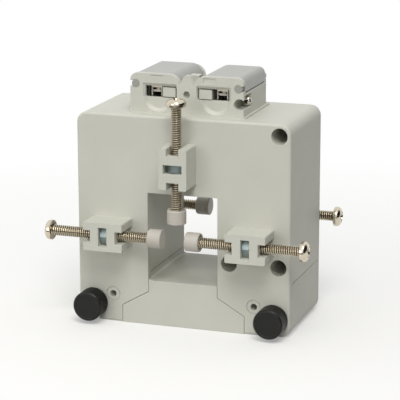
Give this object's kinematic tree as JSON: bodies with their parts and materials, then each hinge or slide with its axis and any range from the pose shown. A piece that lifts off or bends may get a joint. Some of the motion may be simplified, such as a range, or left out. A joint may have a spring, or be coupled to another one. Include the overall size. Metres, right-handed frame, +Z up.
{
  "type": "split-core current transformer",
  "caption": "Openable current transformer for a busbar: casing with a rectangular window, a removable lower yoke on thumb knobs, capped clamp screws and hinged terminal covers.",
  "frame": {"origin": "middle of the depth and of the busbar window's width, on the bottom face that it stands on", "axes": "+Z up, -Y towards the front with the thumb knobs, +X to the right as seen from the front"},
  "size_m": [0.1202, 0.0716, 0.1085],
  "materials": {
    "casing_plastic": "moulded, fine matt grain",
    "cap_plastic": "moulded, satin",
    "cover_plastic": "moulded, semi-gloss",
    "knob_plastic": "moulded, knurled rim",
    "insert_plastic": "moulded",
    "bobbin_plastic": "moulded nylon",
    "washer_plastic": "moulded nylon",
    "core_steel": "wound strip, ground pole faces",
    "coil_copper": "enamelled wire under tape",
    "lead_sleeve": "insulated wire",
    "zinc_nut": "blue zinc plated",
    "screw_steel": "nickel plated",
    "cage_metal": "nickel plated",
    "brass_part": "bare"
  },
  "bodies": {
    "root": {"front_housing": "casing_plastic", "rear_cover": "casing_plastic", "upper_core": "core_steel", "bobbin_left": "bobbin_plastic", "bobbin_right": "bobbin_plastic", "winding_left": "coil_copper", "winding_right": "coil_copper", "coil_leads": "lead_sleeve", "housing_screws": "zinc_nut", "front_left_bracket": "casing_plastic", "front_right_bracket": "casing_plastic", "front_top_bracket": "casing_plastic", "rear_left_bracket": "casing_plastic", "rear_right_bracket": "casing_plastic", "rear_top_bracket": "casing_plastic", "front_left_nut": "zinc_nut", "front_right_nut": "zinc_nut", "front_top_nut": "zinc_nut", "rear_left_nut": "zinc_nut", "rear_right_nut": "zinc_nut", "rear_top_nut": "zinc_nut", "terminal_base": "casing_plastic", "terminal_insert_left": "insert_plastic", "terminal_insert_right": "insert_plastic", "contact_bar_left": "brass_part", "contact_bar_right": "brass_part", "blanking_plate_left": "casing_plastic", "blanking_plate_right": "casing_plastic", "base_screws": "zinc_nut"},
    "yoke": {"yoke_housing": "casing_plastic", "yoke_base_plate": "casing_plastic", "lower_core": "core_steel", "stud_inserts": "brass_part"},
    "washer_left": {"washer_left": "washer_plastic"},
    "knob_left": {"knob_left": "knob_plastic"},
    "washer_right": {"washer_right": "washer_plastic"},
    "knob_right": {"knob_right": "knob_plastic"},
    "front_left_cap": {"front_left_cap": "cap_plastic"},
    "front_left_screw": {"front_left_screw": "screw_steel"},
    "front_right_cap": {"front_right_cap": "cap_plastic"},
    "front_right_screw": {"front_right_screw": "screw_steel"},
    "front_top_cap": {"front_top_cap": "cap_plastic"},
    "front_top_screw": {"front_top_screw": "screw_steel"},
    "rear_left_cap": {"rear_left_cap": "cap_plastic"},
    "rear_left_screw": {"rear_left_screw": "screw_steel"},
    "rear_right_cap": {"rear_right_cap": "cap_plastic"},
    "rear_right_screw": {"rear_right_screw": "screw_steel"},
    "rear_top_cap": {"rear_top_cap": "cap_plastic"},
    "rear_top_screw": {"rear_top_screw": "screw_steel"},
    "cover_left": {"cover_left": "cover_plastic"},
    "cover_right": {"cover_right": "cover_plastic"},
    "cage_left": {"cage_left": "cage_metal"},
    "terminal_screw_left": {"terminal_screw_left": "screw_steel"},
    "cage_right": {"cage_right": "cage_metal"},
    "terminal_screw_right": {"terminal_screw_right": "screw_steel"}
  },
  "joints": [
    {"name": "yoke_slide", "type": "slide", "parent": "root", "child": "yoke", "axis": [0, 0, -1], "range_m": [0, 0.045]},
    {"name": "washer_left_slide", "type": "slide", "parent": "yoke", "child": "washer_left", "axis": [0, -1, 0], "range_m": [0, 0.00385]},
    {"name": "knob_left_turn", "type": "hinge", "parent": "washer_left", "child": "knob_left", "pos_m": [-0.0405, -0.02725, 0.008], "axis": [0, -1, 0], "range_deg": [-1, 1981]},
    {"name": "washer_right_slide", "type": "slide", "parent": "yoke", "child": "washer_right", "axis": [0, -1, 0], "range_m": [0, 0.00385]},
    {"name": "knob_right_turn", "type": "hinge", "parent": "washer_right", "child": "knob_right", "pos_m": [0.0405, -0.02725, 0.008], "axis": [0, -1, 0], "range_deg": [-1, 1981]},
    {"name": "front_left_cap_slide", "type": "slide", "parent": "root", "child": "front_left_cap", "axis": [1, 0, 0], "range_m": [-0.0096, 0.0056]},
    {"name": "front_left_screw_turn", "type": "hinge", "parent": "front_left_cap", "child": "front_left_screw", "pos_m": [-0.03155, -0.03025, 0.0405], "axis": [1, 0, 0], "range_deg": [-4321, 2521]},
    {"name": "front_right_cap_slide", "type": "slide", "parent": "root", "child": "front_right_cap", "axis": [-1, 0, 0], "range_m": [-0.0112, 0.0036]},
    {"name": "front_right_screw_turn", "type": "hinge", "parent": "front_right_cap", "child": "front_right_screw", "pos_m": [0.03155, -0.03025, 0.0405], "axis": [-1, 0, 0], "range_deg": [-5041, 1621]},
    {"name": "front_top_cap_slide", "type": "slide", "parent": "root", "child": "front_top_cap", "axis": [0, 0, -1], "range_m": [-0.0088, 0.0028]},
    {"name": "front_top_screw_turn", "type": "hinge", "parent": "front_top_cap", "child": "front_top_screw", "pos_m": [0, -0.03025, 0.072], "axis": [0, 0, -1], "range_deg": [-3961, 1261]},
    {"name": "rear_left_cap_slide", "type": "slide", "parent": "root", "child": "rear_left_cap", "axis": [1, 0, 0], "range_m": [-0.0104, 0.0048]},
    {"name": "rear_left_screw_turn", "type": "hinge", "parent": "rear_left_cap", "child": "rear_left_screw", "pos_m": [-0.03155, 0.03025, 0.0405], "axis": [1, 0, 0], "range_deg": [-4681, 2161]},
    {"name": "rear_right_cap_slide", "type": "slide", "parent": "root", "child": "rear_right_cap", "axis": [-1, 0, 0], "range_m": [-0.0128, 0.002]},
    {"name": "rear_right_screw_turn", "type": "hinge", "parent": "rear_right_cap", "child": "rear_right_screw", "pos_m": [0.03155, 0.03025, 0.0405], "axis": [-1, 0, 0], "range_deg": [-5761, 901]},
    {"name": "rear_top_cap_slide", "type": "slide", "parent": "root", "child": "rear_top_cap", "axis": [0, 0, -1], "range_m": [-0.0072, 0.004]},
    {"name": "rear_top_screw_turn", "type": "hinge", "parent": "rear_top_cap", "child": "rear_top_screw", "pos_m": [0, 0.03025, 0.072], "axis": [0, 0, -1], "range_deg": [-3241, 1801]},
    {"name": "cover_left_hinge", "type": "hinge", "parent": "root", "child": "cover_left", "pos_m": [-0.0227, 0, 0.104], "axis": [0, -1, 0], "range_deg": [0, 95]},
    {"name": "cover_right_hinge", "type": "hinge", "parent": "root", "child": "cover_right", "pos_m": [0.0227, 0, 0.104], "axis": [0, 1, 0], "range_deg": [0, 95]},
    {"name": "cage_left_slide", "type": "slide", "parent": "root", "child": "cage_left", "axis": [0, 0, 1], "range_m": [-0.00066, 0.00102]},
    {"name": "terminal_screw_left_turn", "type": "hinge", "parent": "root", "child": "terminal_screw_left", "pos_m": [-0.0146, -0.01015, 0.103], "axis": [0, 0, -1], "range_deg": [-397, 613]},
    {"name": "cage_right_slide", "type": "slide", "parent": "root", "child": "cage_right", "axis": [0, 0, 1], "range_m": [-0.00066, 0.00102]},
    {"name": "terminal_screw_right_turn", "type": "hinge", "parent": "root", "child": "terminal_screw_right", "pos_m": [0.0146, -0.01015, 0.103], "axis": [0, 0, -1], "range_deg": [-397, 613]}
  ],
  "couplings": [
    {"joint": "knob_left_turn", "follows": "washer_left_slide", "rad_per_m": 8976},
    {"joint": "knob_right_turn", "follows": "washer_right_slide", "rad_per_m": 8976},
    {"joint": "front_left_screw_turn", "follows": "front_left_cap_slide", "rad_per_m": 7854},
    {"joint": "front_right_screw_turn", "follows": "front_right_cap_slide", "rad_per_m": 7854},
    {"joint": "front_top_screw_turn", "follows": "front_top_cap_slide", "rad_per_m": 7854},
    {"joint": "rear_left_screw_turn", "follows": "rear_left_cap_slide", "rad_per_m": 7854},
    {"joint": "rear_right_screw_turn", "follows": "rear_right_cap_slide", "rad_per_m": 7854},
    {"joint": "rear_top_screw_turn", "follows": "rear_top_cap_slide", "rad_per_m": 7854},
    {"joint": "terminal_screw_left_turn", "follows": "cage_left_slide", "rad_per_m": 10472},
    {"joint": "terminal_screw_right_turn", "follows": "cage_right_slide", "rad_per_m": 10472}
  ]
}
